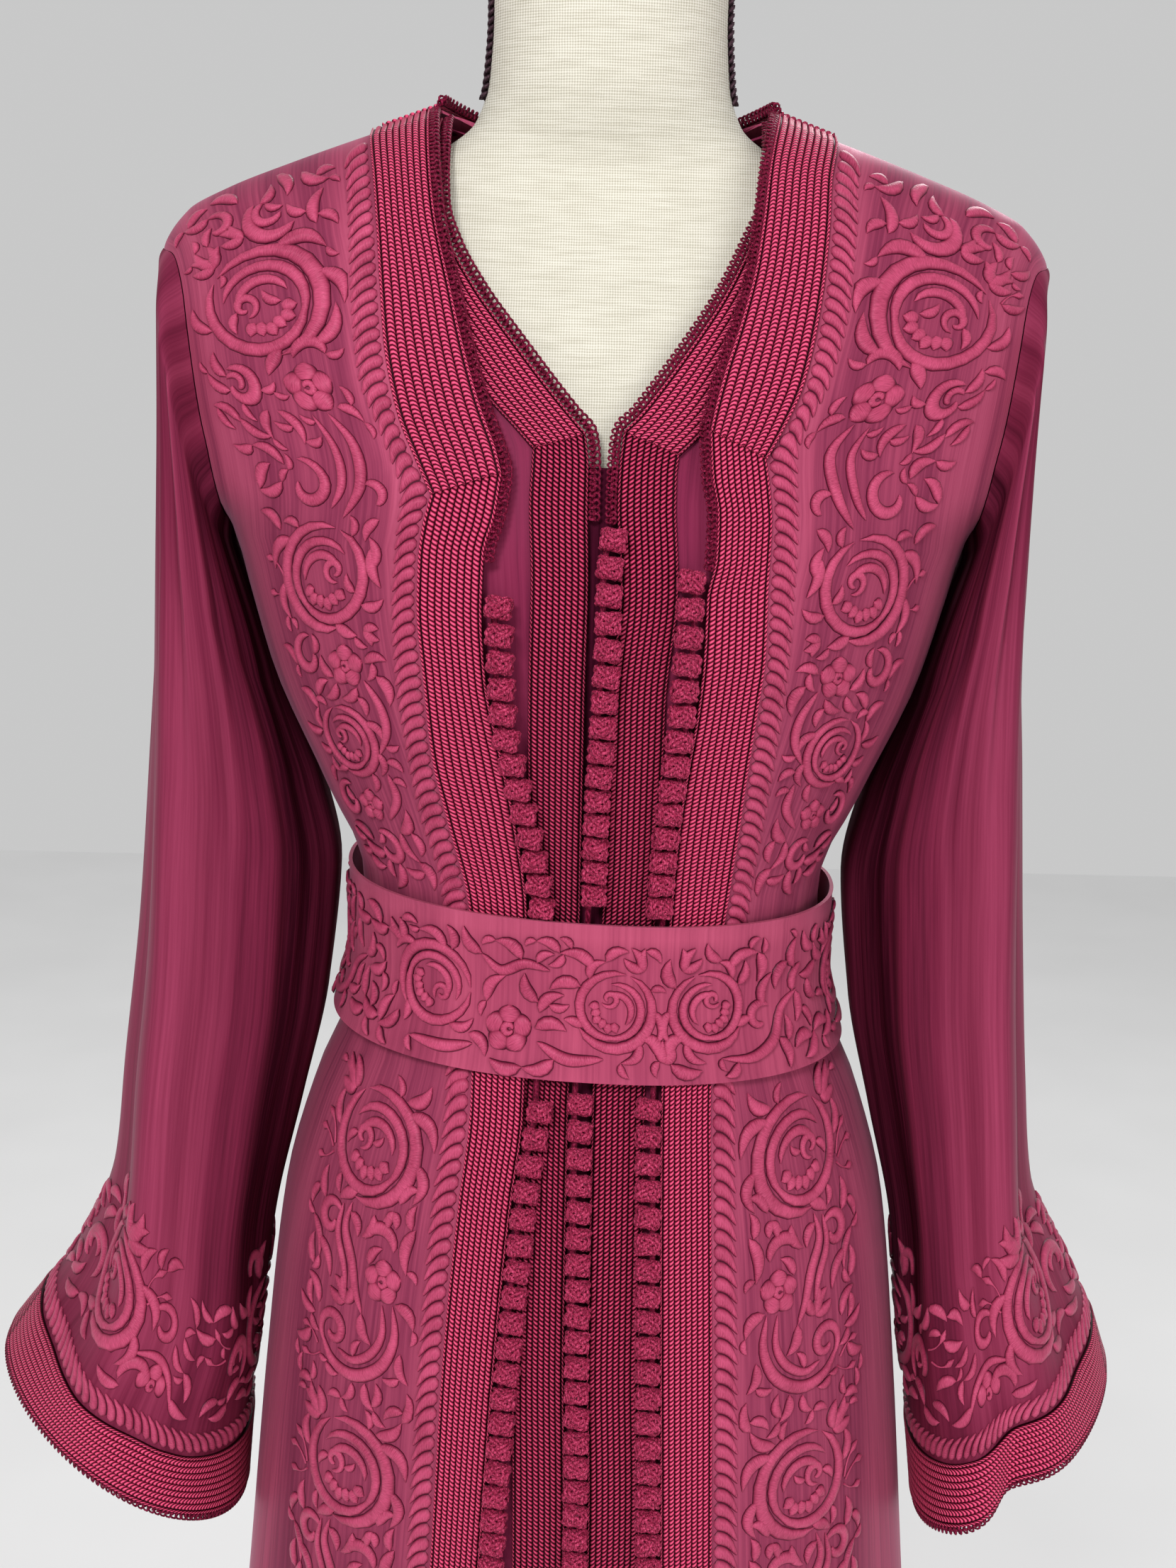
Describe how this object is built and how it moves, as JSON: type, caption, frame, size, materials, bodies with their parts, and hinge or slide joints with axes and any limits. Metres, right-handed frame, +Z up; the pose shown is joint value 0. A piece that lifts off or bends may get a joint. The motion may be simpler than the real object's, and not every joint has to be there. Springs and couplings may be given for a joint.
{
  "type": "takchita on dress form",
  "caption": "Long two-layer festive dress with wide sleeves, braided edges, cord knots and an embroidered belt, standing on a limbless dress form.",
  "frame": {"origin": "middle of the whole part's footprint box, on the floor", "axes": "+Z up, the front of the dress faces -Y, +X is the viewer's right seen from the front"},
  "size_m": [0.6126, 0.4312, 1.602],
  "materials": {
    "outer_satin": "plum-rose changeable satin with embroidery",
    "inner_satin": "plum-rose satin",
    "belt_satin": "stiffened plum-rose satin with embroidery",
    "braid": "crimson silk cord braid",
    "edging": "rose silk crochet edging",
    "knots": "crimson silk cord knots",
    "linen": "natural linen",
    "wood": "turned and waxed",
    "steel": "black paint"
  },
  "bodies": {
    "root": {"dress_form": "linen", "neck_cap": "wood", "stand_pole": "steel", "stand_base": "steel", "inner_back": "inner_satin", "inner_front_left": "inner_satin", "inner_front_right": "inner_satin", "outer_back": "outer_satin", "outer_front_left": "outer_satin", "outer_front_right": "outer_satin", "sleeve_left": "outer_satin", "sleeve_right": "outer_satin", "belt": "belt_satin", "outer_braid_neck": "braid", "outer_braid_left": "braid", "outer_braid_right": "braid", "inner_braid_left": "braid", "inner_braid_right": "braid", "cuff_braid_left": "braid", "cuff_braid_right": "braid", "outer_edging_left": "edging", "outer_edging_right": "edging", "inner_edging_left": "edging", "inner_edging_right": "edging", "cuff_edging_left": "edging", "cuff_edging_right": "edging", "outer_knots_left": "knots", "outer_knots_right": "knots", "inner_knots": "knots"}
  },
  "joints": []
}
